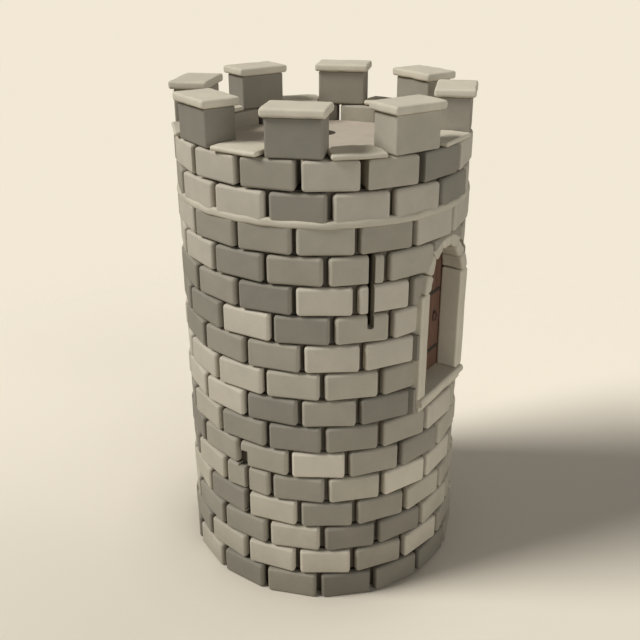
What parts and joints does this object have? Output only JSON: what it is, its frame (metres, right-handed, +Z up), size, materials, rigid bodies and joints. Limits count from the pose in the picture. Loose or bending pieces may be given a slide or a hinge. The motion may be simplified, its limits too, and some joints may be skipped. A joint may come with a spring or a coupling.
{
  "type": "town wall tower",
  "caption": "Round battlemented stone wall tower with capped merlons, thin string course, arrow slits, arched upper door with plank leaf, hollow rooms, timber floor and roof deck.",
  "frame": {"origin": "on the axis of the tower, level with the foot of the wall", "axes": "+Z up along the axis of the tower; -Y is the direction that the upper door faces; +X is to the right of someone who looks at the door from outside"},
  "size_m": [5.1014, 5.1014, 8.738],
  "materials": {
    "wall_stone": "matt",
    "dressed_stone": "matt",
    "deck_stone": "matt",
    "oak": "matt",
    "wrought_iron": "matt",
    "floor_timber": "matt"
  },
  "bodies": {
    "root": {"lower_wall_front": "wall_stone", "lower_wall_right": "wall_stone", "lower_wall_back": "wall_stone", "lower_wall_left": "wall_stone", "upper_wall_front_right": "wall_stone", "upper_wall_back_right": "wall_stone", "upper_wall_back_left": "wall_stone", "upper_wall_front_left": "wall_stone", "head_wall_front": "wall_stone", "head_wall_right": "wall_stone", "head_wall_back": "wall_stone", "head_wall_left": "wall_stone", "string_course": "dressed_stone", "parapet_front": "wall_stone", "parapet_right": "wall_stone", "parapet_back": "wall_stone", "parapet_left": "wall_stone", "merlon_1": "wall_stone", "merlon_2": "wall_stone", "merlon_3": "wall_stone", "merlon_4": "wall_stone", "merlon_5": "wall_stone", "merlon_6": "wall_stone", "merlon_7": "wall_stone", "merlon_8": "wall_stone", "merlon_caps": "dressed_stone", "gap_slabs": "dressed_stone", "door_sill": "dressed_stone", "door_jamb_left": "dressed_stone", "door_jamb_right": "dressed_stone", "door_arch": "dressed_stone", "door_leaf": "oak", "door_straps": "wrought_iron", "door_ring": "wrought_iron", "floor_joists": "floor_timber", "floor_boarding": "floor_timber", "roof_beams": "floor_timber", "roof_deck": "deck_stone"}
  },
  "joints": []
}
